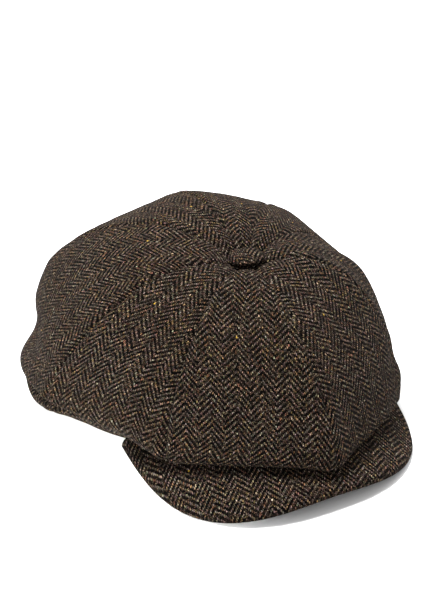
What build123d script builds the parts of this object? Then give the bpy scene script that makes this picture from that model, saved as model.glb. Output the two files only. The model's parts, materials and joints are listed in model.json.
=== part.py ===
from build123d import *
from math import atan2, cos, hypot, pi, radians, sin, sqrt
import os

# An eight-panel newsboy cap in tweed, in millimetres, lying on a table as it does when it is put down.
# World frame: +Z is up, the table is z = 0, the visor points along -Y and +X is the wearer's left.
# Cap frame: the lower edge of the headband is its XY plane and its Y axis runs back through the head
# opening. It is pitched back from the world frame until the visor and the back of the band both rest.

# Where the head opening's middle lies, so that the origin is under the middle of the whole cap
OPENING_X = 4.679
OPENING_Y = 11.806
TABLE_LIFT = 0.035

# Cloth and stiffener thicknesses
TWEED = 1.4
STIFFENER = 0.8
SWEATBAND = 1.2
LINING = 0.5
VISOR_BOARD = 2.0
GAP = 0.3

# Headband, an oval ring that goes round the head
BAND_HALF_WIDTH = 91.0
BAND_HALF_LENGTH = 100.5
BAND_HEIGHT = 14.0
STIFFENER_FOOT = 1.0
STIFFENER_HEIGHT = 21.0
SWEATBAND_FOOT = 0.6
SWEATBAND_HEIGHT = 29.0

# Visor, a sheet that is arched from side to side and slopes down to the front
VISOR_HALF_WIDTH = 82.3
VISOR_LENGTH = 39.0
VISOR_CORNER = 78.3
VISOR_ARCH = 140.0
VISOR_ROUNDNESS = 2.6
VISOR_STEPS = 16
VISOR_SPARE = 10.0
VISOR_REGION = 80.0
COVER_MARGIN = 1.5

# Crown: button axis, height of the top, and the seams' headings round the button from the front
BUTTON_X = 5.5
BUTTON_Y = -45.5
TOP_Z = 84.0
HOLE_R = 3.0
SEAT_R = 10.5
SEAMS = (0.0, 64.0, 107.0, 152.0, 184.0, 218.0, 250.0, 301.0, 360.0)
PANEL_SECTIONS = 5
# How full each panel is between its seams: 0 is straight across and 1 is round
FULLNESS = (0.55, 0.55, 0.7, 0.55, 0.55, 0.55, 0.55, 0.55)
# At each seam: the widest line's reach past the band, its height, and how square the dome is
REACH = (34.5, 16.0, 20.0, 19.0, 15.0, 14.5, 10.0, 21.0)
RIM_Z = (17.0, 17.0, 16.0, 12.0, 13.5, 15.0, 16.0, 16.5)
SQUARENESS = (1.6, 1.4, 1.5, 2.35, 2.6, 2.2, 2.0, 2.2)
# Front, side and back values of the cloth's puff between the button and the widest line
PUFF = (0.0, 5.0, 16.0)
PUFF_SKEW = 0.7
BLEND_POWER = 1.5
VISOR_SHARE_START = 0.1
VISOR_SHARE_END = 0.5
RIM_ABOVE_VISOR = 11.0
ROLL_DROP = 9.5
HEM_DROP = 6.0
ROLL_RADIUS = 7.0
HEM_CLEARANCE = 1.2

# Lining, a smaller dome that hangs from the top edge of the sweatband
LINING_HOLE_R = 4.0
LINING_TOP_DROP = 5.0
LINING_SQUARENESS = (1.42, 1.5, 2.0)
LINING_PUFF = (0.0, 3.0, 12.0)

# Covered button
BUTTON_R = 10.0
BUTTON_HEIGHT = 5.0
BUTTON_COVER = 1.0
BUTTON_SHELL = 0.5
BUTTON_LIFT = 0.4
BUTTON_EDGE = 1.6
BUTTON_TURN_UNDER = 3.0
BUTTON_BACK_R = 8.0
SHANK_R = 2.0
SHANK_DEPTH = 5.2
SHANK_WIRE = 0.5
THREAD_R = 0.4
THREAD_GAP = 0.05
THREAD_DROP = 2.9
THREAD_SPAN = 9.0

# Stitching and label
STITCH_LENGTH = 4.0
STITCH_COUNT = 88
STITCH_Z = 3.5
TACK_HEADINGS = (-24, 0, 24)
LABEL_WIDTH = 26.0
LABEL_HEIGHT = 14.0
LABEL_THICKNESS = 0.3
LABEL_Z = 8.0

VISOR_THICKNESS = 2 * TWEED + VISOR_BOARD
CORNER_BACK = BAND_HALF_LENGTH * sqrt(1 - (VISOR_CORNER / BAND_HALF_WIDTH) ** 2)


def arch_drop(x):
    """How far the visor's round arch has dropped at a distance from its middle."""
    return VISOR_ARCH - sqrt(VISOR_ARCH**2 - x * x)


# The slope brings the visor's corners back up to the lower edge of the band
VISOR_SLOPE = arch_drop(VISOR_CORNER) / (BAND_HALF_LENGTH - CORNER_BACK)


def visor_height(x, y):
    """Height of the visor's middle surface in the cap frame."""
    return VISOR_SLOPE * (y + BAND_HALF_LENGTH) - arch_drop(x)


def visor_outline(margin=0.0):
    """Points of the visor's free edge from corner to corner, drawn in by a margin."""
    half_width = VISOR_HALF_WIDTH - margin
    depth = BAND_HALF_LENGTH + VISOR_LENGTH - margin - CORNER_BACK
    points = []
    for step in range(VISOR_STEPS + 1):
        turn = pi * (step / VISOR_STEPS - 0.5)
        side = abs(sin(turn)) ** (2 / VISOR_ROUNDNESS)
        x = half_width * (side if turn > 0 else -side)
        points.append((x, -CORNER_BACK - depth * abs(cos(turn)) ** (2 / VISOR_ROUNDNESS)))
    return points


def resting_pitch():
    """Angle that puts the visor's lowest point on the table along with the back of the band."""
    angles = []
    for x, y in visor_outline():
        drop = VISOR_THICKNESS / 2 - visor_height(x, y)
        angles.append(atan2(drop, BAND_HALF_LENGTH - y))
    return max(angles)


PITCH = resting_pitch()
CAP = Plane(
    origin=(
        OPENING_X,
        OPENING_Y + BAND_HALF_LENGTH * (1 - cos(PITCH)),
        TABLE_LIFT + BAND_HALF_LENGTH * sin(PITCH),
    ),
    x_dir=(1, 0, 0),
    z_dir=(0, sin(PITCH), cos(PITCH)),
)


def in_cap(plane):
    """A plane of the cap frame, placed in the world frame."""
    return Plane(CAP.location * plane.location)


def level(height):
    """The cap frame's XY plane, raised by a height."""
    return in_cap(Plane.XY.offset(height))


def meridian(heading):
    """The upright plane through the button axis: local x runs outwards and local y up."""
    turn = radians(heading)
    return in_cap(
        Plane(
            origin=(BUTTON_X, BUTTON_Y, 0),
            x_dir=(-sin(turn), -cos(turn), 0),
            z_dir=(-cos(turn), sin(turn), 0),
        )
    )


def oval_radius(heading, inset=0.0):
    """Distance from the button axis out to the band's oval, drawn in by an inset."""
    width = BAND_HALF_WIDTH - inset
    length = BAND_HALF_LENGTH - inset
    dx = -sin(radians(heading))
    dy = -cos(radians(heading))
    a = (dx / width) ** 2 + (dy / length) ** 2
    b = BUTTON_X * dx / width**2 + BUTTON_Y * dy / length**2
    c = (BUTTON_X / width) ** 2 + (BUTTON_Y / length) ** 2 - 1
    return (sqrt(b * b - a * c) - b) / a


def blend(heading, values):
    """Front, side and back values, blended round the cap."""
    front, side, back = values
    forward = cos(radians(heading))
    end = front if forward > 0 else back
    return side + (end - side) * abs(forward) ** BLEND_POWER


def mix(share, low, high):
    return low + share * (high - low)


def round_the_seams(heading, values):
    """A value at any heading, in a straight line between its values at the eight seams."""
    closed = values + values[:1]
    for first, last, low, high in zip(SEAMS, SEAMS[1:], closed, closed[1:]):
        if first <= heading % 360 <= last:
            return mix((heading % 360 - first) / (last - first), low, high)


def over_visor(heading):
    """1 where the crown lies on the visor, 0 at the sides and back, with a smooth change."""
    past_start = cos(radians(heading)) - VISOR_SHARE_START
    share = min(1.0, max(0.0, past_start / (VISOR_SHARE_END - VISOR_SHARE_START)))
    return share * share * (3 - 2 * share)


def visor_top(heading, radius):
    """Height of the visor's top face below a point at a radius from the button axis."""
    x = BUTTON_X - radius * sin(radians(heading))
    y = BUTTON_Y - radius * cos(radians(heading))
    return visor_height(x, y) + VISOR_THICKNESS / 2


def rim_radius(heading):
    """Reach of the crown's widest line if the crown were round."""
    return oval_radius(heading) + round_the_seams(heading, REACH)


def panel_reach(heading, first, last):
    """Reach inside a panel: flatter than the round crown, fuller than a straight line between seams."""
    a = rim_radius(first)
    b = rim_radius(last)
    span = sin(radians(last - first))
    chord = a * b * span / (a * sin(radians(heading - first)) + b * sin(radians(last - heading)))
    return mix(FULLNESS[SEAMS.index(first)], chord, rim_radius(heading))


def dome(hole, outer, top, foot, squareness, puff, steps=8):
    """A flat seat round the hole, then a puffed-up quarter arch out and down to (outer, foot)."""
    points = [(hole, top)]
    for step in range(steps + 1):
        turn = step / steps * pi / 2
        run = sin(turn) ** (2 / squareness)
        rise = max(0.0, cos(turn)) ** (2 / squareness)
        swell = puff * sin(pi * run**PUFF_SKEW)
        points.append((mix(run, SEAT_R, outer), mix(rise, foot, top) + swell))
    return points


def crown_profile(heading, reach):
    """Outer face of the crown: dome, rolled edge, and the part tucked back in to the band."""
    share = over_visor(heading)
    band = oval_radius(heading) + GAP
    middle = reach - ROLL_RADIUS
    free_rim = round_the_seams(heading, RIM_Z)
    rim = mix(share, free_rim, visor_top(heading, reach) + RIM_ABOVE_VISOR)
    roll = mix(share, free_rim - ROLL_DROP, visor_top(heading, middle) + HEM_CLEARANCE)
    hem = mix(share, free_rim - HEM_DROP, visor_top(heading, band) + HEM_CLEARANCE)
    squareness = round_the_seams(heading, SQUARENESS)
    points = dome(HOLE_R, reach, TOP_Z, rim, squareness, blend(heading, PUFF))
    half = sqrt(0.5)
    points.append((middle + ROLL_RADIUS * half, mix(half, rim, roll)))
    points.append((middle, roll))
    points.append((band, hem))
    return points


def offset_points(points, distance):
    """The same line moved to its right-hand side, square to itself at each point."""
    moved = []
    for index, (x, y) in enumerate(points):
        x0, y0 = points[max(0, index - 1)]
        x1, y1 = points[min(len(points) - 1, index + 1)]
        run = hypot(x1 - x0, y1 - y0)
        moved.append((x + distance * (y1 - y0) / run, y - distance * (x1 - x0) / run))
    return moved


def gore(profile_at, thickness, first, last):
    """A thin curved panel between two seams, lofted through its meridian sections."""
    with BuildPart() as panel:
        for section in range(PANEL_SECTIONS):
            heading = mix(section / (PANEL_SECTIONS - 1), first, last)
            outer = profile_at(heading, first, last)
            inner = offset_points(outer, thickness)
            with BuildSketch(meridian(heading)):
                with BuildLine():
                    Polyline(inner[1], inner[0], outer[0], outer[1])
                    Spline(*outer[1:-1])
                    Polyline(outer[-2], outer[-1], inner[-1], inner[-2])
                    Spline(*inner[1:-1])
                make_face()
        loft()
    return panel


def crown_at(heading, first, last):
    return crown_profile(heading, panel_reach(heading, first, last))


def lining_at(heading, first, last):
    foot = SWEATBAND_FOOT + SWEATBAND_HEIGHT + GAP
    reach = oval_radius(heading, TWEED + STIFFENER)
    top = TOP_Z - LINING_TOP_DROP
    squareness = blend(heading, LINING_SQUARENESS)
    return dome(LINING_HOLE_R, reach, top, foot, squareness, blend(heading, LINING_PUFF))


def band_ring(outset, thickness, foot, height):
    """An oval ring inside the headband's outer face."""
    with BuildPart() as ring:
        with BuildSketch(level(foot)):
            Ellipse(BAND_HALF_WIDTH - outset, BAND_HALF_LENGTH - outset)
            inner = outset + thickness
            Ellipse(BAND_HALF_WIDTH - inner, BAND_HALF_LENGTH - inner, mode=Mode.SUBTRACT)
        extrude(amount=height)
    return ring


def visor_layer(low, high, margin):
    """One layer of the visor between two heights about its middle surface."""
    arch_end = VISOR_HALF_WIDTH + VISOR_SPARE
    rise = VISOR_SLOPE * BAND_HALF_LENGTH
    end = rise - arch_drop(arch_end)
    with BuildPart() as layer:
        with BuildSketch(in_cap(Plane.XZ)):
            with BuildLine():
                ThreePointArc((-arch_end, end + low), (0, rise + low), (arch_end, end + low))
                Line((arch_end, end + low), (arch_end, end + high))
                ThreePointArc((arch_end, end + high), (0, rise + high), (-arch_end, end + high))
                Line((-arch_end, end + high), (-arch_end, end + low))
            make_face()
        downhill = Vector(0, -1, -VISOR_SLOPE)
        run = (BAND_HALF_LENGTH + VISOR_LENGTH + VISOR_SPARE) * downhill.length
        extrude(amount=run, dir=CAP.from_local_coords(downhill) - CAP.origin)
        with BuildSketch(level(-VISOR_REGION)):
            outline = visor_outline(margin)
            with BuildLine():
                Spline(*outline)
                Line(outline[-1], outline[0])
            make_face()
            Ellipse(BAND_HALF_WIDTH + GAP, BAND_HALF_LENGTH + GAP, mode=Mode.SUBTRACT)
        extrude(amount=2 * VISOR_REGION, mode=Mode.INTERSECT)
    return layer


def button_axis():
    """The cap's upright line through the button."""
    return Axis(CAP.from_local_coords(Vector(BUTTON_X, BUTTON_Y, 0)), CAP.z_dir)


def dome_of_button(inset, thickness, turned_under):
    """A round shell of the button, with its edge turned under by a width."""
    base = TOP_Z + BUTTON_LIFT
    edge = base + BUTTON_EDGE
    outer = BUTTON_R - inset
    inner = outer - thickness
    top = base + BUTTON_HEIGHT - inset
    foot = outer - turned_under
    with BuildPart() as shell:
        with BuildSketch(meridian(0)):
            with BuildLine():
                Line((0, top - thickness), (0, top))
                Spline((0, top), (outer, edge), tangents=((1, 0), (0, -1)))
                if turned_under > 0:
                    Polyline((outer, edge), (outer, base), (foot, base), (foot, base + thickness))
                    Polyline((foot, base + thickness), (inner, base + thickness), (inner, edge))
                else:
                    Line((outer, edge), (inner, edge))
                Spline((inner, edge), (0, top - thickness), tangents=((0, 1), (-1, 0)))
            make_face()
        revolve(axis=button_axis())
    return shell


def oval_point(turn, inset):
    """A point of the band's oval, drawn in by an inset, and the direction along the oval there."""
    width = BAND_HALF_WIDTH - inset
    length = BAND_HALF_LENGTH - inset
    along = Vector(-width * sin(turn), length * cos(turn), 0)
    return Vector(width * cos(turn), length * sin(turn), 0), along.normalized()


def save(piece, name):
    piece.part.label = name
    export_step(piece.part, "parts/" + name + ".step")


os.makedirs("parts", exist_ok=True)

# Crown and lining: eight gores each, named from the wearer's right of the front seam round to the left
PANEL_NAMES = (
    "front_right",
    "side_front_right",
    "side_back_right",
    "back_right",
    "back_left",
    "side_back_left",
    "side_front_left",
    "front_left",
)
for name, first, last in zip(PANEL_NAMES, SEAMS, SEAMS[1:]):
    save(gore(crown_at, TWEED, first, last), "crown_panel_" + name)
    save(gore(lining_at, LINING, first, last), "lining_panel_" + name)

# Headband, its stiffener and the sweatband, one inside the other
headband = band_ring(0, TWEED, 0, BAND_HEIGHT)
save(headband, "headband")
band_stiffener = band_ring(TWEED, STIFFENER, STIFFENER_FOOT, STIFFENER_HEIGHT)
save(band_stiffener, "band_stiffener")
sweatband = band_ring(TWEED + STIFFENER, SWEATBAND, SWEATBAND_FOOT, SWEATBAND_HEIGHT)
save(sweatband, "sweatband")

# Visor: a board between two tweed covers, which meet past its edge
board_low = -VISOR_BOARD / 2
board_high = VISOR_BOARD / 2
save(visor_layer(board_low, board_high, COVER_MARGIN), "visor_board")
save(visor_layer(board_high, board_high + TWEED, 0), "visor_top_cover")
save(visor_layer(board_low - TWEED, board_low, 0), "visor_under_cover")

# Stitches that hold the sweatband's lower edge, in a row round its inner face
stack = TWEED + STIFFENER + SWEATBAND
with BuildPart() as sweatband_stitching:
    for stitch in range(STITCH_COUNT):
        spot, along = oval_point(2 * pi * stitch / STITCH_COUNT, stack + THREAD_R + THREAD_GAP)
        with BuildSketch(in_cap(Plane(origin=spot + Vector(0, 0, STITCH_Z), z_dir=along))):
            Circle(THREAD_R)
        extrude(amount=STITCH_LENGTH / 2, both=True)
save(sweatband_stitching, "sweatband_stitching")

# Blank woven size label inside the back of the sweatband
with BuildPart() as size_label:
    with BuildSketch(level(LABEL_Z)):
        Ellipse(BAND_HALF_WIDTH - stack, BAND_HALF_LENGTH - stack)
        inset = stack + LABEL_THICKNESS
        Ellipse(BAND_HALF_WIDTH - inset, BAND_HALF_LENGTH - inset, mode=Mode.SUBTRACT)
        with Locations((0, BAND_HALF_LENGTH)):
            Rectangle(LABEL_WIDTH, BAND_HALF_LENGTH, mode=Mode.INTERSECT)
    extrude(amount=LABEL_HEIGHT)
save(size_label, "size_label")

# Three hidden tacks that hold the crown's front edge down on the visor
with BuildPart() as front_tacks:
    for heading in TACK_HEADINGS:
        radius = mix(0.5, oval_radius(heading), rim_radius(heading))
        x = BUTTON_X - radius * sin(radians(heading))
        y = BUTTON_Y - radius * cos(radians(heading))
        with BuildSketch(level(visor_top(heading, radius) + GAP)):
            with Locations((x, y)):
                Circle(THREAD_R)
        extrude(amount=HEM_CLEARANCE / 2)
save(front_tacks, "front_tacks")

# Covered button: tweed over a metal shell, a back plate with its wire shank, and the thread through it
save(dome_of_button(0, BUTTON_COVER, BUTTON_TURN_UNDER), "button_cover")
save(dome_of_button(BUTTON_COVER, BUTTON_SHELL, 0), "button_shell")
back_z = TOP_Z + BUTTON_LIFT + BUTTON_COVER
with BuildPart() as button_back:
    with BuildSketch(level(back_z)):
        with Locations((BUTTON_X, BUTTON_Y)):
            Circle(BUTTON_BACK_R)
    extrude(amount=BUTTON_SHELL)
    with BuildLine(meridian(0)) as loop:
        bottom = back_z - SHANK_DEPTH
        shoulder = bottom + SHANK_R
        Line((-SHANK_R, back_z), (-SHANK_R, shoulder))
        ThreePointArc((-SHANK_R, shoulder), (0, bottom), (SHANK_R, shoulder))
        Line((SHANK_R, shoulder), (SHANK_R, back_z))
    with BuildSketch(loop.line ^ 0):
        Circle(SHANK_WIRE)
    sweep()
save(button_back, "button_back")
with BuildPart() as button_thread:
    thread_z = TOP_Z + BUTTON_LIFT - THREAD_DROP
    for side in (-THREAD_R - THREAD_GAP, THREAD_R + THREAD_GAP):
        with BuildSketch(in_cap(Plane(origin=(BUTTON_X, BUTTON_Y + side, thread_z), z_dir=(1, 0, 0)))):
            Circle(THREAD_R)
        extrude(amount=THREAD_SPAN / 2, both=True)
save(button_thread, "button_thread")
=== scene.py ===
"""A tweed newsboy cap lying on a white table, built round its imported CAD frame. All sizes are in metres."""

import json
import math

import bmesh
import bpy
import numpy as np
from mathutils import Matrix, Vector, noise


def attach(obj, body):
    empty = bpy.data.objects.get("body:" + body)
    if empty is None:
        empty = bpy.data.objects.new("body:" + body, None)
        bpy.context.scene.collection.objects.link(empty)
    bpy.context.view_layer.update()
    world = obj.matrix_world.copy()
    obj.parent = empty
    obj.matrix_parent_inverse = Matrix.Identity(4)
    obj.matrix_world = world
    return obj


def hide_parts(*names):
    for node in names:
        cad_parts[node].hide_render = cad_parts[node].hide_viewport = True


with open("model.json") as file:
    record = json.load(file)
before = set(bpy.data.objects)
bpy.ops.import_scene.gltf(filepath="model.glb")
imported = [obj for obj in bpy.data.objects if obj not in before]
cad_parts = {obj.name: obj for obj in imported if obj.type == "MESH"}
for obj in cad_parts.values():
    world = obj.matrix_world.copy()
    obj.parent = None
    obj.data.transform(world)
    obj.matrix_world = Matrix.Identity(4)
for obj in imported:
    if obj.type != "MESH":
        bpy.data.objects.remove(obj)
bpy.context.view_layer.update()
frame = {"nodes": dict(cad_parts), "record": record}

MM = 0.001

# ---------------------------------------------------------------- the design's driving sizes
TWEED = 1.4 * MM
STIFFENER = 0.8 * MM
SWEATBAND = 1.2 * MM
LINING = 0.5 * MM
VISOR_BOARD = 2.0 * MM
GAP = 0.3 * MM
BAND_HALF_WIDTH = 91.0 * MM
BAND_HALF_LENGTH = 100.5 * MM
BAND_HEIGHT = 14.0 * MM
SWEATBAND_FOOT = 0.6 * MM
SWEATBAND_HEIGHT = 29.0 * MM
VISOR_HALF_WIDTH = 82.3 * MM
VISOR_LENGTH = 39.0 * MM
VISOR_CORNER = 78.3 * MM
VISOR_ARCH = 140.0 * MM
VISOR_ROUNDNESS = 2.6
VISOR_THICKNESS = 2 * TWEED + VISOR_BOARD
BUTTON_X = 5.5 * MM
BUTTON_Y = -45.5 * MM
TOP_Z = 84.0 * MM
HOLE_R = 3.0 * MM
SEAT_R = 10.5 * MM
# Headings are round the button: 0 is the front, 90 the wearer's right
SEAMS = np.radians((0, 64, 107, 152, 184, 218, 250, 301, 360))
PANELS = (
    "front_right",
    "side_front_right",
    "side_back_right",
    "back_right",
    "back_left",
    "side_back_left",
    "side_front_left",
    "front_left",
)
# How full each panel is between its seams: 0 is straight across and 1 is round
FULLNESS = (0.55, 0.55, 0.7, 0.55, 0.55, 0.55, 0.55, 0.55)
# At each seam: the widest line's reach past the band, its height, and how square the dome is
REACH = np.array((34.5, 16, 20, 19, 15, 14.5, 10, 21)) * MM
RIM_Z = np.array((17, 17, 16, 12, 13.5, 15, 16, 16.5)) * MM
SQUARENESS = np.array((1.6, 1.4, 1.5, 2.35, 2.6, 2.2, 2.0, 2.2))
# How far the cloth puffs up between the button and the edge, at the front, sides and back
PUFF = (0.0 * MM, 5.0 * MM, 16.0 * MM)
PUFF_SKEW = 0.7
# How quickly the front and back values give way to the side's
SIDE_POWER = 1.5
# The crown starts to lie on the visor at this cosine of the heading, and lies fully on it after this run
ON_VISOR_FROM = 0.1
ON_VISOR_RUN = 0.4
RIM_ABOVE_VISOR = 11.0 * MM
ROLL_DROP = 9.5 * MM
ROLL_RADIUS = 7.0 * MM
HEM_DROP = 6.0 * MM
HEM_CLEARANCE = 1.2 * MM
LINING_HOLE_R = 4.0 * MM
LINING_TOP_DROP = 5.0 * MM
LINING_SQUARENESS = (1.42, 1.5, 2.0)
LINING_PUFF = (0.0 * MM, 3.0 * MM, 12.0 * MM)
BUTTON_R = 10.0 * MM
BUTTON_HEIGHT = 5.0 * MM
BUTTON_LIFT = 0.4 * MM
BUTTON_EDGE = 1.6 * MM
BUTTON_SQUARENESS = 2.1
BUTTON_COVER = 1.0 * MM
BUTTON_TURN_UNDER = 3.0 * MM
THREAD_R = 0.4 * MM
STITCH_LENGTH = 4.0 * MM
STITCH_COUNT = 88
STITCH_Z = 3.5 * MM
LABEL_WIDTH = 26.0 * MM
LABEL_HEIGHT = 14.0 * MM
LABEL_THICKNESS = 0.3 * MM
LABEL_Z = 8.0 * MM
CORNER_BACK = BAND_HALF_LENGTH * math.sqrt(1 - (VISOR_CORNER / BAND_HALF_WIDTH) ** 2)
STACK = TWEED + STIFFENER

# ---------------------------------------------------------------- cap frame
# The head opening's mount gives the cap's own frame: the origin is in the middle of the band's lower edge,
# Z runs up the cap and -Y towards the visor.
OPENING = next(m for m in frame["record"]["mounts"] if m["name"] == "head_opening")
ORIGIN = np.array(OPENING["pos_m"])
CAP_X = np.array([1.0, 0.0, 0.0])
CAP_Z = -np.array(OPENING["axis"])
CAP_Y = np.cross(CAP_Z, CAP_X)


def to_world(points):
    """Cap-frame points in the row's frame."""
    return ORIGIN + points[..., :1] * CAP_X + points[..., 1:2] * CAP_Y + points[..., 2:3] * CAP_Z


def stack3(x, y, z):
    return np.stack(np.broadcast_arrays(x, y, z), -1)


def mix(share, low, high):
    return low + share * (high - low)


def smooth(value):
    value = np.clip(value, 0, 1)
    return value * value * (3 - 2 * value)


def fade_in(value, start, run):
    """0 up to the start, then rising smoothly to 1 over the run."""
    return smooth((value - start) / run)


def hump(value, middle, half_width):
    """1 at the middle, falling smoothly to nothing on both sides."""
    return np.exp(-(((value - middle) / half_width) ** 2))


def wave(points, size, seed):
    """Smooth noise from -1 to 1 at each point."""
    shift = Vector((seed, 1.7 * seed, -seed))
    values = [noise.noise(Vector(p) + shift) for p in points.reshape(-1, 3) / size]
    return np.array(values).reshape(points.shape[:-1])


def unevenness(points, waves):
    """The sum of waves given as (height in mm, size in mm, seed)."""
    return sum(height * MM * wave(points, size * MM, seed) for height, size, seed in waves)


def even_steps(line, count):
    """A line resampled at even steps."""
    steps = np.linalg.norm(np.diff(line, axis=0), axis=1)
    along = np.concatenate([[0], np.cumsum(steps)])
    wanted = np.linspace(0, along[-1], count)
    return np.stack([np.interp(wanted, along, axis) for axis in line.T], -1)


def running_length(points, axis):
    """Distance along the grid's lines in one direction, from 0 at their start."""
    steps = np.linalg.norm(np.diff(points, axis=axis), axis=-1)
    start = np.zeros_like(np.take(steps, [0], axis=axis))
    return np.concatenate([start, np.cumsum(steps, axis=axis)], axis=axis)


# ---------------------------------------------------------------- shapes shared with the design
def arch_drop(x):
    return VISOR_ARCH - np.sqrt(VISOR_ARCH**2 - x * x)


VISOR_SLOPE = arch_drop(VISOR_CORNER) / (BAND_HALF_LENGTH - CORNER_BACK)


def visor_height(x, y):
    """Height of the visor's middle surface."""
    return VISOR_SLOPE * (y + BAND_HALF_LENGTH) - arch_drop(x)


def oval_radius(heading, inset=0.0):
    """Distance from the button axis out to the band's oval, drawn in by an inset."""
    width = BAND_HALF_WIDTH - inset
    length = BAND_HALF_LENGTH - inset
    dx, dy = -np.sin(heading), -np.cos(heading)
    a = (dx / width) ** 2 + (dy / length) ** 2
    b = BUTTON_X * dx / width**2 + BUTTON_Y * dy / length**2
    c = (BUTTON_X / width) ** 2 + (BUTTON_Y / length) ** 2 - 1
    return (np.sqrt(b * b - a * c) - b) / a


def blend(heading, values):
    """Front, side and back values, blended round the cap."""
    front, side, back = values
    forward = np.cos(heading)
    return side + (np.where(forward > 0, front, back) - side) * np.abs(forward) ** SIDE_POWER


def round_the_seams(heading, values):
    """A value at any heading, from its values at the eight seams."""
    return np.interp(heading, SEAMS, np.append(values, values[0]))


def over_visor(heading):
    """1 where the crown lies on the visor, 0 at the sides and back."""
    return fade_in(np.cos(heading), ON_VISOR_FROM, ON_VISOR_RUN)


def around_button(heading, radius, height):
    """The cap-frame point at a heading and radius from the button axis."""
    x = BUTTON_X - radius * np.sin(heading)
    y = BUTTON_Y - radius * np.cos(heading)
    return stack3(x, y, height)


def visor_top(heading, radius):
    spot = around_button(heading, radius, 0.0)
    return float(visor_height(spot[..., 0], spot[..., 1]) + VISOR_THICKNESS / 2)


def rim_radius(heading):
    return oval_radius(heading) + round_the_seams(heading, REACH)


def panel_reach(heading, first, last):
    """Reach inside a panel: flatter than the round crown, fuller than a straight line between seams."""
    a, b = rim_radius(first), rim_radius(last)
    chord = a * b * np.sin(last - first) / (a * np.sin(heading - first) + b * np.sin(last - heading))
    return mix(FULLNESS[np.searchsorted(SEAMS, first)], chord, rim_radius(heading))


def quarter_arch(inner, outer, top, foot, squareness, steps=90):
    """Points from (inner, top) out and down to (outer, foot)."""
    turn = np.linspace(0, math.pi / 2, steps)
    run = np.sin(turn) ** (2 / squareness)
    rise = np.clip(np.cos(turn), 0, 1) ** (2 / squareness)
    return np.stack([mix(run, inner, outer), mix(rise, foot, top)], -1)


def dome_line(hole, outer, top, foot, squareness, puff):
    """A flat seat round the hole, then a puffed-up quarter arch out and down to (outer, foot)."""
    line = quarter_arch(SEAT_R, outer, top, foot, squareness)
    run = ((line[:, 0] - SEAT_R) / (outer - SEAT_R)).clip(0, 1)
    line[:, 1] += puff * np.sin(math.pi * run**PUFF_SKEW)
    return np.concatenate([[[hole, top]], line])


def crown_line(heading, first, last):
    """Dome, rolled edge and the part tucked back in to the band, as (radius, height)."""
    reach = float(panel_reach(heading, first, last))
    share = float(over_visor(heading))
    band = float(oval_radius(heading)) + GAP
    middle = reach - ROLL_RADIUS
    free_rim = float(round_the_seams(heading, RIM_Z))
    rim = mix(share, free_rim, visor_top(heading, reach) + RIM_ABOVE_VISOR)
    roll = mix(share, free_rim - ROLL_DROP, visor_top(heading, middle) + HEM_CLEARANCE)
    hem = mix(share, free_rim - HEM_DROP, visor_top(heading, band) + HEM_CLEARANCE)
    squareness = float(round_the_seams(heading, SQUARENESS))
    dome = dome_line(HOLE_R, reach, TOP_Z, rim, squareness, float(blend(heading, PUFF)))
    turn = np.linspace(0, math.pi / 2, 24)[1:]
    rolled = np.stack([middle + ROLL_RADIUS * np.cos(turn), rim - (rim - roll) * np.sin(turn)], -1)
    return np.concatenate([dome, rolled, [[band, hem]]])


def lining_line(heading, first, last):
    """The lining's line from its hole down to the sweatband, which doesn't depend on the panel's seams."""
    foot = SWEATBAND_FOOT + SWEATBAND_HEIGHT + GAP
    reach = float(oval_radius(heading, STACK))
    squareness = float(blend(heading, LINING_SQUARENESS))
    puff = float(blend(heading, LINING_PUFF))
    return dome_line(LINING_HOLE_R, reach, TOP_Z - LINING_TOP_DROP, foot, squareness, puff)


def oval(turn, inset):
    """Points of the band's oval, drawn in by an inset."""
    return (BAND_HALF_WIDTH - inset) * np.cos(turn), (BAND_HALF_LENGTH - inset) * np.sin(turn)


# ---------------------------------------------------------------- meshes
WELD_DISTANCE = 0.002 * MM


def grid_piece(name, points, cloth, material, node):
    """A mesh of quads over a grid of cap-frame points, with the flat cloth's coordinates as its UVs."""
    rows, cols = points.shape[:2]
    index = np.arange(rows * cols).reshape(rows, cols)
    faces = np.stack([index[:-1, :-1], index[:-1, 1:], index[1:, 1:], index[1:, :-1]], -1)
    corner = np.stack([cloth[:-1, :-1], cloth[:-1, 1:], cloth[1:, 1:], cloth[1:, :-1]], 2)
    mesh = bpy.data.meshes.new(name)
    mesh.from_pydata(to_world(points).reshape(-1, 3).tolist(), [], faces.reshape(-1, 4).tolist())
    layer = mesh.uv_layers.new(name="cloth")
    layer.data.foreach_set("uv", corner.reshape(-1).astype(np.float32))
    weld = bmesh.new()
    weld.from_mesh(mesh)
    bmesh.ops.remove_doubles(weld, verts=weld.verts, dist=WELD_DISTANCE)
    weld.to_mesh(mesh)
    weld.free()
    mesh.polygons.foreach_set("use_smooth", [True] * len(mesh.polygons))
    mesh.materials.append(material)
    piece = bpy.data.objects.new(name, mesh)
    bpy.context.scene.collection.objects.link(piece)
    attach(piece, "root")
    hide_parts(node)
    return piece


def thicken(piece, thickness):
    """Gives a sheet its thickness, on its inner side."""
    solid = piece.modifiers.new("thickness", "SOLIDIFY")
    solid.thickness = thickness
    solid.offset = -1
    solid.use_quality_normals = True


# ---------------------------------------------------------------- materials
SHEEN_ROUGHNESS = 0.45


def grey(value):
    return (value, value, value)


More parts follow.
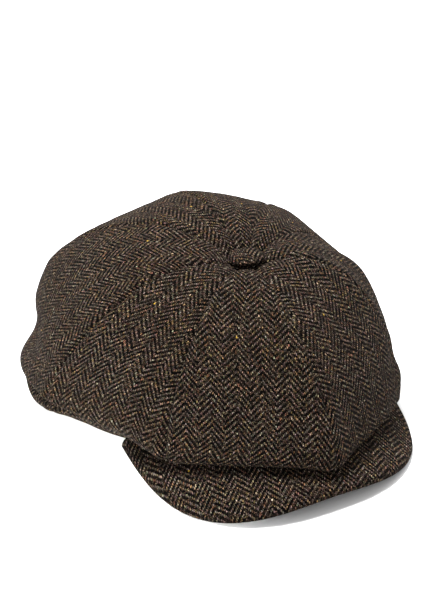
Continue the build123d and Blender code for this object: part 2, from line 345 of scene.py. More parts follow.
class Surface:
    """A material's node tree with short calls for adding nodes."""

    def __init__(self, name, roughness, specular, sheen=0.0, metallic=0.0):
        self.material = bpy.data.materials.new(name)
        self.material.use_nodes = True
        self.tree = self.material.node_tree
        self.shader = self.tree.nodes["Principled BSDF"]
        self.shader.inputs["Roughness"].default_value = roughness
        self.shader.inputs["Specular IOR Level"].default_value = specular
        self.shader.inputs["Metallic"].default_value = metallic
        self.shader.inputs["Sheen Weight"].default_value = sheen
        self.shader.inputs["Sheen Roughness"].default_value = SHEEN_ROUGHNESS

    def put(self, socket, value):
        if isinstance(value, bpy.types.NodeSocket):
            self.tree.links.new(value, socket)
        elif value is not None:
            socket.default_value = value

    def math(self, operation, a, b=None, c=None):
        node = self.tree.nodes.new("ShaderNodeMath")
        node.operation = operation
        for socket, value in zip(node.inputs, (a, b, c)):
            self.put(socket, value)
        return node.outputs[0]

    def times(self, a, b):
        return self.math("MULTIPLY", a, b)

    def floor(self, value):
        return self.math("FLOOR", value)

    def arch(self, value):
        """0 at 0 and 1, and 1 in the middle."""
        return self.times(self.times(value, 4.0), self.math("SUBTRACT", 1.0, value))

    def vector(self, x, y, z=0.0):
        node = self.tree.nodes.new("ShaderNodeCombineXYZ")
        for socket, value in zip(node.inputs, (x, y, z)):
            self.put(socket, value)
        return node.outputs[0]

    def parts(self, vector):
        node = self.tree.nodes.new("ShaderNodeSeparateXYZ")
        self.put(node.inputs[0], vector)
        return node.outputs

    def scaled(self, vector, scale):
        node = self.tree.nodes.new("ShaderNodeVectorMath")
        node.operation = "SCALE"
        self.put(node.inputs[0], vector)
        node.inputs["Scale"].default_value = scale
        return node.outputs[0]

    def added(self, a, b, operation="ADD"):
        node = self.tree.nodes.new("ShaderNodeVectorMath")
        node.operation = operation
        self.put(node.inputs[0], a)
        self.put(node.inputs[1], b)
        return node.outputs[0]

    def noise(self, vector, scale, detail, output="Factor"):
        node = self.tree.nodes.new("ShaderNodeTexNoise")
        self.put(node.inputs["Vector"], vector)
        node.inputs["Scale"].default_value = scale
        node.inputs["Detail"].default_value = detail
        return node.outputs[0] if output == "Factor" else node.outputs[1]

    def wandering(self, vector, scale, detail, reach):
        """The vector, moved about by smooth noise."""
        moved = self.added(self.noise(vector, scale, detail, "Color"), grey(0.5), "SUBTRACT")
        return self.added(vector, self.scaled(moved, reach))

    def random(self, vector, output="Value"):
        """A different value or colour from 0 to 1 for each whole-number place."""
        node = self.tree.nodes.new("ShaderNodeTexWhiteNoise")
        node.noise_dimensions = "3D"
        self.put(node.inputs["Vector"], vector)
        return node.outputs[output]

    def voronoi(self, vector, scale):
        node = self.tree.nodes.new("ShaderNodeTexVoronoi")
        self.put(node.inputs["Vector"], vector)
        node.inputs["Scale"].default_value = scale
        return node.outputs["Distance"], node.outputs["Color"]

    def ramp(self, value, *stops):
        """A colour ramp through (position, colour) stops."""
        node = self.tree.nodes.new("ShaderNodeValToRGB")
        self.put(node.inputs[0], value)
        elements = node.color_ramp.elements
        while len(elements) < len(stops):
            elements.new(0.5)
        for element, (position, colour) in zip(elements, stops):
            element.position = position
            element.color = (*colour, 1)
        return node.outputs[0]

    def blend(self, factor, a, b, mode="MIX"):
        node = self.tree.nodes.new("ShaderNodeMix")
        node.data_type = "RGBA"
        node.blend_type = mode
        self.put(node.inputs["Factor"], factor)
        self.put(node.inputs[6], a)
        self.put(node.inputs[7], b)
        return node.outputs[2]

    def tinted(self, colour, tint):
        """One colour multiplied by another."""
        return self.blend(1.0, colour, tint, "MULTIPLY")

    def cloth(self):
        """The flat cloth's coordinates, in metres."""
        node = self.tree.nodes.new("ShaderNodeUVMap")
        node.uv_map = "cloth"
        return node.outputs[0]

    def place(self):
        return self.tree.nodes.new("ShaderNodeTexCoord").outputs["Object"]

    def finish(self, colour, height, depth, strength):
        """Links the colour and a bump of this depth to the shader."""
        bump = self.tree.nodes.new("ShaderNodeBump")
        bump.inputs["Strength"].default_value = strength
        bump.inputs["Distance"].default_value = depth
        self.put(bump.inputs["Height"], height)
        self.put(self.shader.inputs["Base Color"], colour)
        self.put(self.shader.inputs["Normal"], bump.outputs[0])
        return self.material


# The tweed's yarns: how far apart they lie, how many make a column, and how far they wander
WARP_PITCH = 0.80 * MM
WEFT_PITCH = 0.83 * MM
COLUMN_YARNS = 9.0
YARN_WANDER = 1.35
# The twill repeats every four yarns: the warp is on top at the first two, whose phases are 0 and 1
TWILL_REPEAT = 4.0
WARP_ON_TOP_BELOW = 1.5
# How high the weft stands beside the warp
WEFT_LEVEL = 0.6
# Colours of the mixed fibres along the light warp and the dark weft, as (position, colour)
WARP_COLOURS = (
    (0.00, (0.048, 0.034, 0.026)),
    (0.22, (0.072, 0.052, 0.040)),
    (0.45, (0.096, 0.076, 0.062)),
    (0.60, (0.096, 0.046, 0.025)),
    (0.72, (0.088, 0.070, 0.054)),
    (0.88, (0.122, 0.077, 0.034)),
    (1.00, (0.168, 0.140, 0.108)),
)
WEFT_COLOURS = (
    (0.00, (0.0016, 0.0012, 0.0009)),
    (0.50, (0.0066, 0.0046, 0.0034)),
    (0.80, (0.0300, 0.0205, 0.0145)),
    (1.00, (0.0700, 0.0480, 0.0310)),
)
# How much darker or lighter the stray hairs and the tufts are, and how dark the painted shade in the valleys
# between yarns is
HAIR_TONES = ((0.36, grey(0.45)), (0.66, grey(1.4)))
TUFT_TONES = ((0.0, grey(0.22)), (0.7, grey(0.88)), (1.0, grey(2.5)))
VALLEY_PAINTED_SHADE = ((0.12, (0.03, 0.027, 0.024)), (0.70, (0.88, 0.88, 0.87)))
TUFTS_PER_YARN = 1.4
# Each crossing has its own slight tint, from the low up by the range
TINT_RANGE = 0.32
TINT_LOW = 0.84
# Flecks lie in some of the cells of this size, and their radius is a share of the cell
FLECK_CELL = 9.0 * MM
CELLS_WITHOUT_FLECK = 0.6
FLECK_RADIUS = 0.055
FLECK_STRENGTH = 0.8
FLECK_COLOURS = ((0.1, (0.40, 0.36, 0.30)), (0.45, (0.30, 0.13, 0.04)), (0.8, (0.42, 0.27, 0.02)))
TWEED_BUMP = 0.45 * MM


def tweed_material():
    """Herringbone twill: light warp over dark weft, two up and two down, turned back at each column."""
    s = Surface("tweed_herringbone", 0.95, specular=0.02, sheen=0.008)
    flat_u, flat_v, _ = s.parts(s.cloth())
    yarns = s.vector(s.math("DIVIDE", flat_u, WARP_PITCH), s.math("DIVIDE", flat_v, WEFT_PITCH))
    u, v, _ = s.parts(s.wandering(yarns, 0.8, 3, YARN_WANDER))
    warp, weft = s.floor(u), s.floor(v)
    step = s.math("PINGPONG", warp, COLUMN_YARNS)
    phase = s.math("FLOORED_MODULO", s.math("ADD", weft, step), TWILL_REPEAT)
    warp_over = s.math("LESS_THAN", phase, WARP_ON_TOP_BELOW)

    # How high the yarn on top stands: round across itself, and dipping at both ends of its float
    across, along = s.math("FRACT", u), s.math("FRACT", v)
    warp_end = s.arch(s.times(s.math("ADD", phase, along), 0.5))
    warp_height = s.times(s.arch(across), s.math("POWER", warp_end, 0.9))
    weft_height = s.times(s.times(s.arch(along), s.math("POWER", s.arch(across), 0.3)), WEFT_LEVEL)
    under = s.math("SUBTRACT", 1.0, warp_over)
    height = s.math("ADD", s.times(warp_height, warp_over), s.times(weft_height, under))

    # The yarns are spun from mixed fibres: the colour changes every few crossings and drifts over the cloth
    float_number = s.floor(s.times(s.math("ADD", v, step), 1 / TWILL_REPEAT))
    mixed = s.random(s.vector(warp, float_number))
    strand = s.noise(s.vector(s.times(warp, 2.7), s.times(v, 0.12)), 1.0, 1)
    drift = s.times(s.math("SUBTRACT", strand, 0.5), 0.5)
    light = s.ramp(s.math("ADD", mixed, drift), *WARP_COLOURS)
    dark = s.ramp(s.random(s.vector(weft, s.floor(s.times(u, 0.5)), 5.0)), *WEFT_COLOURS)
    colour = s.blend(warp_over, dark, light)

    # Stray hairs and tufts cover the yarns unevenly, and the valleys between them get painted shade, darker
    # where the yarns stand lower
    hairs = s.noise(yarns, 1.3, 3)
    tuft_u, tuft_v = s.times(u, TUFTS_PER_YARN), s.times(v, TUFTS_PER_YARN)
    tuft = s.random(s.vector(s.floor(tuft_u), s.floor(tuft_v), 9.0))
    tint = s.added(s.scaled(s.random(s.vector(warp, weft, 3.0), "Color"), TINT_RANGE), grey(TINT_LOW))
    cover = s.tinted(s.tinted(s.ramp(hairs, *HAIR_TONES), s.ramp(tuft, *TUFT_TONES)), tint)
    # Painted shade: the colour is darkened where the yarns' height is low, in the valleys between them
    colour = s.tinted(s.tinted(colour, cover), s.ramp(height, *VALLEY_PAINTED_SHADE))

    # Flecks: small knots of bright fibre, about one in every two square centimetres
    distance, kind = s.voronoi(yarns, WARP_PITCH / FLECK_CELL)
    kind_r, kind_g, _ = s.parts(kind)
    fleck_reach = s.times(s.math("GREATER_THAN", kind_g, CELLS_WITHOUT_FLECK), FLECK_RADIUS)
    fleck = s.math("LESS_THAN", distance, fleck_reach)
    colour = s.blend(s.times(fleck, FLECK_STRENGTH), colour, s.ramp(kind_r, *FLECK_COLOURS))
    return s.finish(colour, s.math("ADD", height, s.times(hairs, 0.5)), TWEED_BUMP, 0.9)


def woven_material(name, light, dark, thread, roughness, sheen=0.1, specular=0.3, twill=3.0, depth=0.12 * MM):
    """Plain cloth whose fine threads lie in diagonal ribs."""
    s = Surface(name, roughness, specular, sheen)
    threads = s.scaled(s.cloth(), 1 / thread)
    u, v, _ = s.parts(s.wandering(threads, 0.5, 2, 0.5))
    rib = s.math("SINE", s.times(s.math("ADD", u, v), 2 * math.pi / twill))
    cross = s.times(s.math("SINE", s.times(u, 2 * math.pi)), 0.35)
    height = s.math("MULTIPLY_ADD", s.math("ADD", rib, cross), 0.35, 0.5)
    blotch = s.noise(threads, 0.05, 3)
    tone = s.math("MULTIPLY_ADD", s.math("SUBTRACT", blotch, 0.5), 0.6, height)
    return s.finish(s.ramp(tone, (0.1, dark), (0.9, light)), height, depth, 0.8)


def grained_material(name, dark, light, grain, roughness, metallic=0.0, specular=0.4, depth=0.05 * MM):
    """A plain hard or pressed surface with fine grain and a mottled colour."""
    s = Surface(name, roughness, specular, metallic=metallic)
    place = s.place()
    fine = s.noise(place, 1 / grain, 4)
    coarse = s.noise(place, 0.12 / grain, 2)
    tone = s.math("MULTIPLY_ADD", coarse, 0.5, s.times(fine, 0.5))
    return s.finish(s.ramp(tone, (0.3, dark), (0.7, light)), fine, depth, 0.6)


def twisted_thread(name):
    """Thread on a CAD node, which has no cloth coordinates."""
    return grained_material(name, (0.03, 0.024, 0.019), (0.075, 0.06, 0.05), grain=0.25 * MM, roughness=0.6)


tweed = tweed_material()
satin = woven_material(
    "lining_satin",
    light=(0.060, 0.036, 0.024),
    dark=(0.022, 0.013, 0.009),
    thread=0.22 * MM,
    roughness=0.34,
    sheen=0.0,
    specular=0.55,
    twill=5.0,
    depth=0.03 * MM,
)
tape = woven_material(
    "sweatband_twill",
    light=(0.052, 0.040, 0.032),
    dark=(0.016, 0.012, 0.010),
    thread=0.45 * MM,
    roughness=0.8,
)
label_cloth = woven_material(
    "label_weave",
    light=(0.42, 0.38, 0.31),
    dark=(0.26, 0.23, 0.18),
    thread=0.3 * MM,
    roughness=0.6,
    sheen=0.05,
    twill=2.0,
)
thread = woven_material(
    "sewing_thread",
    light=(0.085, 0.065, 0.050),
    dark=(0.025, 0.019, 0.015),
    thread=0.35 * MM,
    roughness=0.55,
    specular=0.35,
    twill=1.0,
)
board = grained_material(
    "visor_board_plastic",
    dark=(0.36, 0.35, 0.32),
    light=(0.47, 0.46, 0.43),
    grain=0.8 * MM,
    roughness=0.5,
)
buckram = grained_material(
    "buckram",
    dark=(0.50, 0.47, 0.40),
    light=(0.66, 0.63, 0.55),
    grain=0.6 * MM,
    roughness=0.85,
)
steel = grained_material(
    "button_steel",
    dark=(0.42, 0.42, 0.42),
    light=(0.60, 0.60, 0.59),
    grain=0.3 * MM,
    roughness=0.35,
    metallic=1.0,
    specular=0.5,
    depth=0.01 * MM,
)
CAD_MATERIALS = {
    "visor_board": board,
    "button_shell": steel,
    "button_back": steel,
    "button_thread": twisted_thread("button_thread_twist"),
    "front_tacks": twisted_thread("tack_thread_twist"),
}
for node, material in CAD_MATERIALS.items():
    for material_slot in frame["nodes"][node].material_slots:
        material_slot.material = material

# ---------------------------------------------------------------- crown
GORE_ROWS = 170
GORE_COLS = 76
# Steps across a gore are part even and part crowded towards its seams
EVEN_SHARE = 0.45
CROWDED_SHARE = 0.55
SEAM_DEPTH = 1.0 * MM
SEAM_HALF_WIDTH = 1.1 * MM
SEAM_ENDS_ABOVE_HEM = 6 * MM
SEAM_FADE = 10 * MM
# The seam allowances show through as a low ridge on both sides of each seam
ALLOWANCE_RIDGE = 0.35 * MM
ALLOWANCE_AT = 4.2 * MM
ALLOWANCE_HALF_WIDTH = 2.4 * MM
ALLOWANCE_FADE_R = 30 * MM
# Each seam draws the rolled edge in where it turns under, in mm: where the edge is free, and over the visor
SEAM_DRAW = (0.7, 1.6)
DRAW_HALF_WIDTH = 3.2 * MM
DRAW_ABOVE_HEM = 24 * MM
DRAW_REACH = 14 * MM
# Gathers and the dimple round the button
GATHER_DEPTH = 1.3 * MM
GATHER_LEVEL = 0.6
GATHER_R = 22 * MM
GATHER_REACH = 12 * MM
DIMPLE_DEPTH = 1.6 * MM
DIMPLE_R = 8 * MM
DIMPLE_REACH = 7 * MM
# Unevenness of the free cloth, as (height in mm, size in mm, seed), and where it starts
CROWN_WAVES = ((2.2, 52, 3.1), (0.7, 21, 8.4), (0.16, 7, 5.5))
FREE_ABOVE_HEM = 16 * MM
FREE_HEM_FADE = 22 * MM
FREE_R = 12 * MM
FREE_R_FADE = 20 * MM
# Towards the front the seams stand prouder than the panels' middles; the two cosines are of the heading
FACET_DEPTH = 2.0 * MM
FACET_FULL_R = 60 * MM
FACETS_FROM = -0.2
FACETS_RUN = 0.6
# Swellings and dents as (mm out, heading and half-width in degrees, mm above the rim and half-height)
SOFT_SPOTS = (
    # The wearer's right sags over the band: a swelling, dents round it, and a crease and lip below
    (2.6, 130, 12, 3, 6),
    (-7.0, 137, 13, 18, 8.5),
    (-4.8, 148, 9, 7, 9),
    (-4.8, 114, 15, -2, 1.8),
    (2.4, 118, 9, -7, 3),
    (-3.5, 94, 12, -8.5, 3.5),
    # Soft corners round the back, with hollows between them
    (1.7, 152, 8, 48, 9),
    (-1.8, 164, 9, 58, 9),
    (0.9, 187, 9, 79, 8),
    (1.9, 227, 9, 64, 8),
    (-1.3, 247, 8, 51, 9),
    (2.0, 273, 9, 47, 9),
    (-2.4, 299, 14, 4, 10),
)
SPOTS_ABOVE_HEM = 8 * MM
SPOTS_FADE = 6 * MM


def across_gore(count):
    """Steps from 0 to 1 that are closer near both seams."""
    even = np.linspace(0, 1, count)
    return EVEN_SHARE * even + CROWDED_SHARE * (0.5 - 0.5 * np.cos(even * math.pi))


def gore_lines(line_at, first, last, rows, cols):
    """A grid of (radius, height) and its headings, from seam to seam."""
    headings = mix(across_gore(cols), first, last)
    lines = np.stack([even_steps(line_at(h, first, last), rows) for h in headings], 1)
    return lines, np.broadcast_to(headings, (rows, cols))


def push_out(lines, headings, relief):
    """Moves a gore's points square to their meridian lines, so that neighbours still meet at the seam."""
    step = np.gradient(lines, axis=0)
    step = step / np.linalg.norm(step, axis=-1, keepdims=True)
    radius = lines[..., 0] - step[..., 1] * relief
    height = lines[..., 1] + step[..., 0] * relief
    return around_button(headings, radius, height)


def gore_cloth(points):
    """A gore's flat coordinates: across from its middle line, and along it."""
    across = running_length(points, 1)
    across = across - across[:, -1:] / 2
    middle = running_length(points[:, points.shape[1] // 2], 0)
    return np.stack([across, np.broadcast_to(middle[:, None], across.shape)], -1)


def seam_distances(points):
    """How far across its gore each point is from the nearer seam, and half the gore's width there."""
    across = running_length(points, 1)
    width = across[:, -1:]
    return np.minimum(across, width - across), width / 2


def distance_to_hem(points):
    """How far along its gore each point is from the last row."""
    return running_length(points[::-1], 0)[::-1]


def soft_spots(lines, headings):
    """The swellings and dents that the cloth has as it lies."""
    above_rim = lines[..., 1] - round_the_seams(headings, RIM_Z)
    turned = np.degrees(headings)
    total = 0
    for amount, heading, width, height, tallness in SOFT_SPOTS:
        spot = hump(turned, heading, width) * hump(above_rim, height * MM, tallness * MM)
        total = total + amount * MM * spot
    return total


def crown_relief(points, lines, headings):
    """Seam grooves, gathers at the button, and the soft unevenness of cloth that stands on its own."""
    from_seam, half_width = seam_distances(points)
    to_hem = distance_to_hem(points)
    radius = lines[..., 0]

    groove = -SEAM_DEPTH * hump(from_seam, 0, SEAM_HALF_WIDTH)
    ridge = ALLOWANCE_RIDGE * hump(from_seam, ALLOWANCE_AT, ALLOWANCE_HALF_WIDTH)
    ridge = ridge * smooth(radius / ALLOWANCE_FADE_R)
    sewn = (groove + ridge) * fade_in(to_hem, SEAM_ENDS_ABOVE_HEM, SEAM_FADE)
    drawn_in = mix(over_visor(headings), *SEAM_DRAW) * MM
    pucker = -drawn_in * hump(from_seam, 0, DRAW_HALF_WIDTH) * hump(to_hem, DRAW_ABOVE_HEM, DRAW_REACH)

    # 0 at the seams and 1 in the panel's middle
    inside = smooth(from_seam / np.maximum(half_width, 1e-6))
    gathers = GATHER_DEPTH * (inside - GATHER_LEVEL) * hump(radius, GATHER_R, GATHER_REACH)
    dimple = -DIMPLE_DEPTH * hump(radius, DIMPLE_R, DIMPLE_REACH)

    free = fade_in(to_hem, FREE_ABOVE_HEM, FREE_HEM_FADE) * fade_in(radius, FREE_R, FREE_R_FADE)
    facing = fade_in(np.cos(headings), FACETS_FROM, FACETS_RUN)
    facets = FACET_DEPTH * (0.5 - inside) * smooth(radius / FACET_FULL_R) * facing
    loose = free * (unevenness(points, CROWN_WAVES) + facets)
    spots = fade_in(to_hem, SPOTS_ABOVE_HEM, SPOTS_FADE) * soft_spots(lines, headings)
    return sewn + pucker + gathers + dimple + loose + spots


for name, first, last in zip(PANELS, SEAMS, SEAMS[1:]):
    lines, headings = gore_lines(crown_line, first, last, GORE_ROWS, GORE_COLS)
    plain = around_button(headings, lines[..., 0], lines[..., 1])
    points = push_out(lines, headings, crown_relief(plain, lines, headings))
    cloth = gore_cloth(plain)
    gore = grid_piece("tweed_gore_" + name, points, cloth, tweed, "crown_panel_" + name)
    thicken(gore, TWEED)

# ---------------------------------------------------------------- lining
LINING_ROWS = 80
LINING_COLS = 44
# Long folds run down the lining: this wave is stretched along the cap's height
LONG_FOLDS = ((1.1, 13, 2.2),)
FOLD_STRETCH = np.array([1, 1, 0.35])
LINING_WAVES = ((1.3, 34, 6.6), (0.3, 7, 4.9))
# The lining hangs a little inside its plain shape, and less so at its seams
LINING_SLACK = 1.6 * MM
SEAM_HOLD = 0.8 * MM
SEAM_HOLD_HALF_WIDTH = 1.4 * MM
SLACK_HEM_FADE = 18 * MM
SLACK_R = 6 * MM
SLACK_R_FADE = 20 * MM


def lining_relief(points, lines):
    """Folds between the seams, fading out towards the sweatband and the button."""
    from_seam, _ = seam_distances(points)
    slack = smooth(distance_to_hem(points) / SLACK_HEM_FADE) * fade_in(lines[..., 0], SLACK_R, SLACK_R_FADE)
    folds = unevenness(points * FOLD_STRETCH, LONG_FOLDS) + unevenness(points, LINING_WAVES)
    held_out = SEAM_HOLD * hump(from_seam, 0, SEAM_HOLD_HALF_WIDTH)
    return slack * (folds - LINING_SLACK + held_out)


for name, first, last in zip(PANELS, SEAMS, SEAMS[1:]):
    lines, headings = gore_lines(lining_line, first, last, LINING_ROWS, LINING_COLS)
    plain = around_button(headings, lines[..., 0], lines[..., 1])
    points = push_out(lines, headings, lining_relief(plain, lines))
    cloth = gore_cloth(plain)
    gore = grid_piece("satin_gore_" + name, points, cloth, satin, "lining_panel_" + name)
    thicken(gore, LINING)

# ---------------------------------------------------------------- band and sweatband
RING_STEPS = 361
EDGE_BEND_STEPS = 9
FACE_STEPS = 22
BUCKRAM_FOOT = 2.5 * MM
BUCKRAM_TOP_DROP = 0.5 * MM
# The headband's folded foot slopes back to its inner face over this height
FOLD_SLOPE = 0.6 * MM
# The sweatband's tape is thinner than the space it has, and leaves this much on its outer side
TAPE_INSET = 0.35 * MM
BAND_BOW = 0.5 * MM
BAND_WAVE = 0.25 * MM
BAND_WAVE_COUNT = 7
# The wave leans by this many radians for each mm of height
BAND_WAVE_LEAN = 0.09
STITCH_PULL = 0.22 * MM
STITCH_PULL_REACH = 1.6 * MM
TAPE_WAVE = 0.3 * MM
TAPE_WAVE_COUNT = 11
TAPE_WAVE_FROM = 12 * MM
TAPE_WAVE_FADE = 14 * MM


def ring_piece(name, node, material, inset, thickness, foot, height, relief, fold_to=None):
    """A folded strip that goes round the head: rounded at both edges, with relief(turn, z) on both faces.

    With fold_to, its lower edge is folded in to that depth under the buckram.
    """
    turn = np.linspace(0, 2 * math.pi, RING_STEPS)
    half = thickness / 2
    bend = np.linspace(0, math.pi, EDGE_BEND_STEPS)
    rise = np.linspace(foot + half, foot + height - half, FACE_STEPS)
    outer = np.stack([np.zeros_like(rise), rise], -1)
    top = np.stack([half - half * np.cos(bend), foot + height - half + half * np.sin(bend)], -1)
    inner = np.stack([np.full_like(rise, thickness), rise[::-1]], -1)
    bottom = np.stack([half + half * np.cos(bend), foot + half - half * np.sin(bend)], -1)
    section = np.concatenate([outer, top[1:], inner[1:], bottom[1:]])
    depth, z = section[:, :1], section[:, 1:]
    inward = depth + relief(turn[None, :], z)
    if fold_to is not None:
        folded = smooth(depth / thickness) * smooth((BUCKRAM_FOOT - z) / FOLD_SLOPE)
        inward = mix(folded, inward, fold_to)
    x, y = oval(turn[None, :], inset + inward)
    points = stack3(x, y, z)
    round_section = running_length(section, 0)[:, None]
    along = running_length(points, 1)[:1]
    cloth = np.stack(np.broadcast_arrays(round_section, along), -1)
    piece = grid_piece(name, points, cloth, material, node)


def band_relief(turn, z):
    """The strip bows out a little between its folded edges and is not quite even along its length."""
    bow = -BAND_BOW * np.sin(np.clip(z / BAND_HEIGHT, 0, 1) * math.pi)
    return bow + BAND_WAVE * np.sin(BAND_WAVE_COUNT * turn + BAND_WAVE_LEAN * z / MM)


def sweatband_relief(turn, z):
    """Pulled in at each stitch, and slightly wavy along its free top edge."""
    stitched = STITCH_PULL * hump(z, STITCH_Z, STITCH_PULL_REACH) * np.cos(STITCH_COUNT * turn)
    return stitched + TAPE_WAVE * fade_in(z, TAPE_WAVE_FROM, TAPE_WAVE_FADE) * np.sin(TAPE_WAVE_COUNT * turn)


ring_piece(
    "headband_strip",
    "headband",
    tweed,
    inset=0,
    thickness=TWEED,
    foot=0,
    height=BAND_HEIGHT,
    relief=band_relief,
    fold_to=STACK + GAP,
)
ring_piece(
    "buckram_strip",
    "band_stiffener",
    buckram,
    inset=TWEED,
    thickness=STIFFENER,
    foot=BUCKRAM_FOOT,
    height=BAND_HEIGHT - BUCKRAM_FOOT - BUCKRAM_TOP_DROP,
    relief=band_relief,
)
ring_piece(
    "sweatband_tape",
    "sweatband",
    tape,
    inset=STACK + TAPE_INSET,
    thickness=SWEATBAND - TAPE_INSET,
    foot=SWEATBAND_FOOT,
    height=SWEATBAND_HEIGHT,
    relief=sweatband_relief,
)

# ---------------------------------------------------------------- stitches and label
# A stitch's ends lie deeper than its middle by this many thread radii, and its middle is raised by this
# share of that; the slant is how far each end is up or down
STITCH_DIP = 1.1
STITCH_DIP_LEVEL = 0.25
STITCH_SLANT = 0.25 * MM
# A face longer than this spans two stitches
LONGEST_STITCH_FACE = 1.2 * MM
STITCH_CLOTH_STEP = 0.4 * MM


def stitch_strand(number, share, turn):
    """One running stitch: a short thread that dives into the tape at both ends."""
    x, y = oval(2 * math.pi * number / STITCH_COUNT, STACK + SWEATBAND + THREAD_R)
    along = np.array([-y * BAND_HALF_WIDTH / BAND_HALF_LENGTH, x * BAND_HALF_LENGTH / BAND_HALF_WIDTH, 0])
    along /= np.linalg.norm(along)
    inward = -np.array([along[1], -along[0], 0])
    dip = (share[:, None] ** 2 - STITCH_DIP_LEVEL) * STITCH_DIP * THREAD_R
    fat = THREAD_R * np.sqrt(np.clip(1 - share[:, None] ** 6, 0.02, 1))
    away = fat * np.cos(turn) - dip
    up = fat * np.sin(turn) + STITCH_SLANT * share[:, None]
    base = np.array([x, y, STITCH_Z]) + along * (share * STITCH_LENGTH / 2)[:, None]
    return base[:, None] + inward * away[..., None] + np.array([0, 0, 1]) * up[..., None]


thread_turn = np.linspace(0, 2 * math.pi, 13)
stitch_share = np.linspace(-1, 1, 11)
stitch_rows = np.concatenate([stitch_strand(n, stitch_share, thread_turn) for n in range(STITCH_COUNT)])
round_thread = thread_turn * THREAD_R
along_rows = np.arange(len(stitch_rows))[:, None] * STITCH_CLOTH_STEP
stitch_cloth = np.stack(np.broadcast_arrays(round_thread, along_rows), -1)
stitches = grid_piece(
    "sweatband_stitches",
    stitch_rows,
    stitch_cloth,
    thread,
    "sweatband_stitching",
)
# The grid runs on from stitch to stitch: its joins are cut out and each stitch's ends closed
joins = bmesh.new()
joins.from_mesh(stitches.data)
long_faces = [f for f in joins.faces if max(e.calc_length() for e in f.edges) > LONGEST_STITCH_FACE]
bmesh.ops.delete(joins, geom=long_faces, context="FACES")
bmesh.ops.holes_fill(joins, edges=joins.edges, sides=12)
joins.to_mesh(stitches.data)
joins.free()

# The blank size label is held at its top edge and curls a little away from the tape below
LABEL_CURL = 0.5 * MM
LABEL_WAVE = 0.15 * MM
LABEL_WAVE_LENGTH = 5 * MM
label_u = np.linspace(-LABEL_WIDTH / 2, LABEL_WIDTH / 2, 40)[None, :]
label_v = np.linspace(0, LABEL_HEIGHT, 24)[:, None]
curl = LABEL_CURL * (1 - label_v / LABEL_HEIGHT) ** 2 + LABEL_WAVE * np.cos(label_u / LABEL_WAVE_LENGTH)
label_turn = math.pi / 2 - label_u / BAND_HALF_WIDTH
x, y = oval(label_turn, STACK + SWEATBAND + LABEL_THICKNESS + GAP + curl)
label_points = stack3(x, y, LABEL_Z + label_v)
label_map = np.stack(np.broadcast_arrays(label_u, label_v), -1)
label = grid_piece("size_label_blank", label_points, label_map, label_cloth, "size_label")
thicken(label, LABEL_THICKNESS)

# ---------------------------------------------------------------- visor covers
VISOR_COLS = 181
VISOR_ROWS = 40
EDGE_STEPS = 10
OUTLINE_STEPS = 1200
# The covers are cut with the tweed's columns turned a little towards the wearer's right
GRAIN_TURN = math.radians(15.0)
GRAIN_COS = math.cos(GRAIN_TURN)
GRAIN_SIN = math.sin(GRAIN_TURN)
GRAIN_MATRIX = np.array(((GRAIN_COS, GRAIN_SIN), (-GRAIN_SIN, GRAIN_COS)))
# Near the edge the cloth is drawn down into the seam between the covers, over the last rows
VISOR_SEAM_DEPTH = 0.12 * MM
VISOR_SEAM_ROWS = 8


def visor_outline():
    """Points along the visor's free edge, and the outward direction at each."""
    turn = np.linspace(-math.pi / 2, math.pi / 2, OUTLINE_STEPS)
    width = np.sign(turn) * VISOR_HALF_WIDTH * np.abs(np.sin(turn)) ** (2 / VISOR_ROUNDNESS)
    depth = BAND_HALF_LENGTH + VISOR_LENGTH - CORNER_BACK
    outline = np.stack([width, -CORNER_BACK - depth * np.cos(turn).clip(0) ** (2 / VISOR_ROUNDNESS)], -1)
    outline = even_steps(outline, VISOR_COLS)
    ahead = np.gradient(outline, axis=0)
    ahead /= np.linalg.norm(ahead, axis=1, keepdims=True)
    return outline, np.stack([ahead[:, 1], -ahead[:, 0]], -1)


def visor_cover(name, node, side):
    """One cover of the visor, up (1) or down (-1), rounded over its free edge to the seam half way down."""
    outline, outward = visor_outline()
    share = np.linspace(-math.pi / 2, math.pi / 2, VISOR_COLS)
    inner_x = VISOR_CORNER * np.sin(share)
    inner_y = -(BAND_HALF_LENGTH + GAP) * np.sqrt(1 - (inner_x / (BAND_HALF_WIDTH + GAP)) ** 2)
    inner = np.stack([inner_x, inner_y], -1)
    half = VISOR_THICKNESS / 2
    flat_end = outline - outward * half
    run = np.linspace(0, 1, VISOR_ROWS)[:, None, None]
    flat = mix(run, inner[None], flat_end[None])
    edge_turn = np.linspace(0, math.pi / 2, EDGE_STEPS)[1:, None, None]
    edge = flat_end[None] + outward[None] * half * np.sin(edge_turn)
    planform = np.concatenate([flat, edge])
    rolled = np.concatenate([flat, flat_end[None] + outward[None] * half * edge_turn])
    lift = np.concatenate([np.full((VISOR_ROWS, 1), half), half * np.cos(edge_turn[..., 0])])
    height = visor_height(planform[..., 0], planform[..., 1])
    spots = stack3(planform[..., 0], planform[..., 1], height)
    uneven = unevenness(spots, ((0.35, 24, 4.4 * side), (0.1, 6, 1.9)))
    seam = smooth((np.arange(len(lift)) - VISOR_ROWS + VISOR_SEAM_ROWS) / VISOR_SEAM_ROWS)[:, None]
    off_middle = lift + uneven * (1 - seam) - VISOR_SEAM_DEPTH * seam
    points = stack3(planform[..., 0], planform[..., 1], height + side * off_middle)
    if side < 0:
        points, rolled = points[:, ::-1], rolled[:, ::-1]
    turned = rolled @ GRAIN_MATRIX
    piece = grid_piece(name, points[::-1], turned[::-1], tweed, node)
    thicken(piece, TWEED)


visor_cover("visor_top_cloth", "visor_top_cover", 1)
visor_cover("visor_under_cloth", "visor_under_cover", -1)

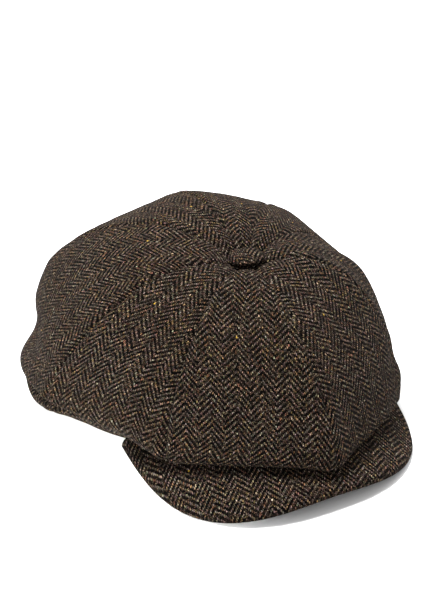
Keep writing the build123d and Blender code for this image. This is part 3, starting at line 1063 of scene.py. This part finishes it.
# ---------------------------------------------------------------- covered button
# Small puckers round the button's edge, as a share of its radius
BUTTON_PUCKER = 0.018
BUTTON_PUCKER_COUNT = 11
BUTTON_PUCKER_REACH = 1.8 * MM
round_turn = np.linspace(0, 2 * math.pi, 97)[None, :]
base = TOP_Z + BUTTON_LIFT
dome = quarter_arch(0, BUTTON_R, base + BUTTON_HEIGHT, base + BUTTON_EDGE, BUTTON_SQUARENESS, 26)
bend = np.linspace(0, math.pi / 2, 8)[1:]
tucked_r = BUTTON_R - BUTTON_EDGE + BUTTON_EDGE * np.cos(bend)
tucked = np.stack([tucked_r, base + BUTTON_EDGE - BUTTON_EDGE * np.sin(bend)], -1)
line = np.concatenate([dome, tucked, [[BUTTON_R - BUTTON_TURN_UNDER, base]]])
at_edge = hump(line[:, 1], base + BUTTON_EDGE * 0.6, BUTTON_PUCKER_REACH)[:, None]
puckers = np.sin(BUTTON_PUCKER_COUNT * round_turn + np.sin(3 * round_turn))
radius = line[:, :1] * (1 + BUTTON_PUCKER * at_edge * puckers)
points = around_button(round_turn, radius, line[:, 1:2])
reach = running_length(line, 0)[:, None]
cloth = np.stack([reach * np.sin(round_turn), reach * np.cos(round_turn)], -1)
button = grid_piece("button_cloth", points, cloth, tweed, "button_cover")
thicken(button, BUTTON_COVER)

# ---------------------------------------------------------------- table and camera
TABLE_HALF = 4.0
TABLE_CORNERS = ((-1, -1), (1, -1), (1, 1), (-1, 1))
PAPER_WHITENESS = 0.72
floor_mesh = bpy.data.meshes.new("floor")
floor_mesh.from_pydata([(x * TABLE_HALF, y * TABLE_HALF, 0) for x, y in TABLE_CORNERS], [], [(0, 1, 2, 3)])
floor = bpy.data.objects.new("floor", floor_mesh)
bpy.context.scene.collection.objects.link(floor)
paper = Surface("white_paper", 0.9, specular=0.1)
paper.shader.inputs["Base Color"].default_value = (*grey(PAPER_WHITENESS), 1)
floor_mesh.materials.append(paper.material)

# The camera looks at a point near the cap's middle, from the front, round to the wearer's right, and above
CAMERA_HEADING = math.radians(29.0)
CAMERA_ELEVATION = math.radians(31.6)
CAMERA_DISTANCE = 1.2
CAMERA_LENS = 123.1
CAMERA_SENSOR = 36.0
CAMERA_SHIFT = (0.0156, 0.0420)
TARGET = Vector(ORIGIN + np.array((0.0, -0.74, 27.81)) * MM)
to_camera = Vector(
    (
        -math.sin(CAMERA_HEADING) * math.cos(CAMERA_ELEVATION),
        -math.cos(CAMERA_HEADING) * math.cos(CAMERA_ELEVATION),
        math.sin(CAMERA_ELEVATION),
    )
)
camera_data = bpy.data.cameras.new("camera")
camera_data.lens = CAMERA_LENS
camera_data.sensor_width = CAMERA_SENSOR
camera_data.shift_x, camera_data.shift_y = CAMERA_SHIFT
camera = bpy.data.objects.new("camera", camera_data)
bpy.context.scene.collection.objects.link(camera)
camera.location = TARGET + CAMERA_DISTANCE * to_camera
camera.rotation_mode = "QUATERNION"
camera.rotation_quaternion = (-to_camera).to_track_quat("-Z", "Y")
bpy.context.scene.camera = camera

# ---------------------------------------------------------------- light
# Studio lights as (name, location, size, power), all aimed at the cap's middle
STUDIO_LIGHTS = (
    ("overhead_softbox", (-0.34, 0.16, 1.65), 0.6, 83),
    ("right_fill", (1.2, 0.4, 1.1), 1.0, 15),
    ("front_fill", (-1.2, -1.3, 1.1), 1.2, 4),
)
CAP_MIDDLE = (0, 0, 0.03)
WASH_SPREAD = math.radians(50)
ROOM_STRENGTH = 1.02


def soft_light(name, location, size, power, aim):
    data = bpy.data.lights.new(name, "AREA")
    data.shape = "DISK"
    data.size = size
    data.energy = power
    light = bpy.data.objects.new(name, data)
    bpy.context.scene.collection.objects.link(light)
    light.location = location
    light.rotation_mode = "QUATERNION"
    light.rotation_quaternion = (Vector(aim) - Vector(location)).to_track_quat("-Z", "Y")
    return light


for name, location, size, power in STUDIO_LIGHTS:
    soft_light(name, location, size, power, CAP_MIDDLE)
# A wash on the table alone, which lightens the shadow under the cap's near side
wash = soft_light("table_wash", (-0.19, -0.10, 0.26), 0.1, 0.85, (-0.16, -0.05, 0))
wash.data.spread = WASH_SPREAD
wash.visible_camera = False
table_only = bpy.data.collections.new("table_only")
table_only.objects.link(floor)
wash.light_linking.receiver_collection = table_only
wash.light_linking.blocker_collection = table_only

world = bpy.data.worlds.new("white_room")
world.use_nodes = True
background = world.node_tree.nodes["Background"]
background.inputs["Color"].default_value = (1, 1, 1, 1)
background.inputs["Strength"].default_value = ROOM_STRENGTH
bpy.context.scene.world = world
bpy.context.scene.view_settings.view_transform = "Standard"
